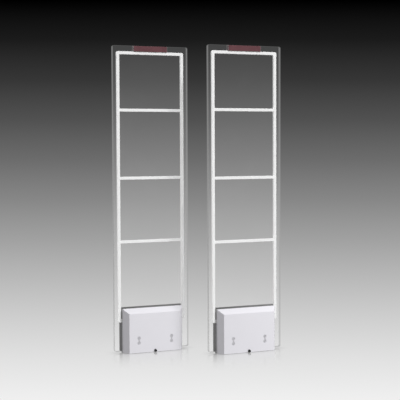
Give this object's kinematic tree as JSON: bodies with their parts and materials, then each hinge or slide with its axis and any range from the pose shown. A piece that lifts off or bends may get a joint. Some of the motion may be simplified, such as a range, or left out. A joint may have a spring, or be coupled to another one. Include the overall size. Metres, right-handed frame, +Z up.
{
  "type": "security gate",
  "caption": "Pair of clear acrylic anti-theft pedestals with a white tube ladder inside, a red lamp in the top edge and a white pull-off cover over the electronics at the foot.",
  "frame": {"origin": "on the floor, midway between the two pedestals, at the middle of the bounding box's underside", "axes": "+X along the panels' width to the right pedestal, -Y towards the covers (front), +Z up"},
  "size_m": [0.8338, 0.3496, 1.56],
  "materials": {
    "clear_acrylic": "polished clear acrylic sheet",
    "clear_edge": "polished clear acrylic strip",
    "white_tube": "satin white moulded tube",
    "white_cover": "fine-textured white moulding",
    "tray_white": "matt white moulding",
    "white_screw": "white enamelled screw",
    "red_lens": "translucent dark red",
    "led_red": "red diffused epoxy",
    "charcoal_steel": "fine charcoal powder coat",
    "black_rubber": "matt black",
    "zinc_steel": "zinc plated",
    "aluminium_sleeve": "turned",
    "aluminium_can": "drawn can",
    "brass": "turned",
    "laminated_steel": "varnished laminations",
    "board_green": "green solder mask",
    "terminal_green": "matt green",
    "black_plastic": "matt black",
    "dial_blue": "satin blue",
    "cable_grey": "grey sheath",
    "cable_red": "red sheath"
  },
  "bodies": {
    "root": {"left_front_sheet": "clear_acrylic", "left_rear_sheet": "clear_acrylic", "left_edge_strips": "clear_edge", "left_uprights": "white_tube", "left_cross_rails": "white_tube", "left_corner_elbows": "white_tube", "left_antenna_cable": "cable_grey", "left_lamp_lens": "red_lens", "left_lamp_board": "board_green", "left_lamp_cable": "cable_red", "left_base_plate": "charcoal_steel", "left_rear_plate": "charcoal_steel", "left_electronics_tray": "tray_white", "left_main_board": "board_green", "left_terminal_block": "terminal_green", "left_transformer": "laminated_steel", "left_buzzer": "black_plastic", "left_power_switch": "black_plastic", "left_wiring_loom": "cable_red", "right_front_sheet": "clear_acrylic", "right_rear_sheet": "clear_acrylic", "right_edge_strips": "clear_edge", "right_uprights": "white_tube", "right_cross_rails": "white_tube", "right_corner_elbows": "white_tube", "right_antenna_cable": "cable_grey", "right_lamp_lens": "red_lens", "right_lamp_board": "board_green", "right_lamp_cable": "cable_red", "right_base_plate": "charcoal_steel", "right_rear_plate": "charcoal_steel", "right_electronics_tray": "tray_white", "right_main_board": "board_green", "right_terminal_block": "terminal_green", "right_transformer": "laminated_steel", "right_buzzer": "black_plastic", "right_power_switch": "black_plastic", "right_wiring_loom": "cable_red", "lamp_leds": "led_red", "seat_pads": "black_rubber", "clamp_bolts": "zinc_steel", "clamp_nuts": "zinc_steel", "spacer_sleeves": "aluminium_sleeve", "board_standoffs": "brass", "board_screws": "zinc_steel", "board_chips": "black_plastic", "capacitors": "aluminium_can"},
    "left_cover": {"left_front_cover": "white_cover", "left_cover_screws": "white_screw", "left_cable_boot": "black_rubber"},
    "left_sensitivity_dial": {"left_sensitivity_dial": "dial_blue"},
    "left_volume_dial": {"left_volume_dial": "dial_blue"},
    "left_power_rocker": {"left_power_rocker": "black_plastic"},
    "right_cover": {"right_front_cover": "white_cover", "right_cover_screws": "white_screw", "right_cable_boot": "black_rubber"},
    "right_sensitivity_dial": {"right_sensitivity_dial": "dial_blue"},
    "right_volume_dial": {"right_volume_dial": "dial_blue"},
    "right_power_rocker": {"right_power_rocker": "black_plastic"}
  },
  "joints": [
    {"name": "left_cover_pull", "type": "slide", "parent": "root", "child": "left_cover", "axis": [0, -1, 0], "range_m": [0, 0.1]},
    {"name": "left_sensitivity_turn", "type": "hinge", "parent": "root", "child": "left_sensitivity_dial", "pos_m": [-0.25088, 0.07882, 0.062], "axis": [0, -1, 0], "range_deg": [-135, 135]},
    {"name": "left_volume_turn", "type": "hinge", "parent": "root", "child": "left_volume_dial", "pos_m": [-0.17488, 0.07882, 0.062], "axis": [0, -1, 0], "range_deg": [-135, 135]},
    {"name": "left_power_tip", "type": "hinge", "parent": "root", "child": "left_power_rocker", "pos_m": [-0.32788, 0.08582, 0.172], "axis": [1, 0, 0], "range_deg": [0, 24]},
    {"name": "right_cover_pull", "type": "slide", "parent": "root", "child": "right_cover", "axis": [0, -1, 0], "range_m": [0, 0.1]},
    {"name": "right_sensitivity_turn", "type": "hinge", "parent": "root", "child": "right_sensitivity_dial", "pos_m": [0.17488, -0.14282, 0.062], "axis": [0, -1, 0], "range_deg": [-135, 135]},
    {"name": "right_volume_turn", "type": "hinge", "parent": "root", "child": "right_volume_dial", "pos_m": [0.25088, -0.14282, 0.062], "axis": [0, -1, 0], "range_deg": [-135, 135]},
    {"name": "right_power_tip", "type": "hinge", "parent": "root", "child": "right_power_rocker", "pos_m": [0.09788, -0.13582, 0.172], "axis": [1, 0, 0], "range_deg": [0, 24]}
  ]
}
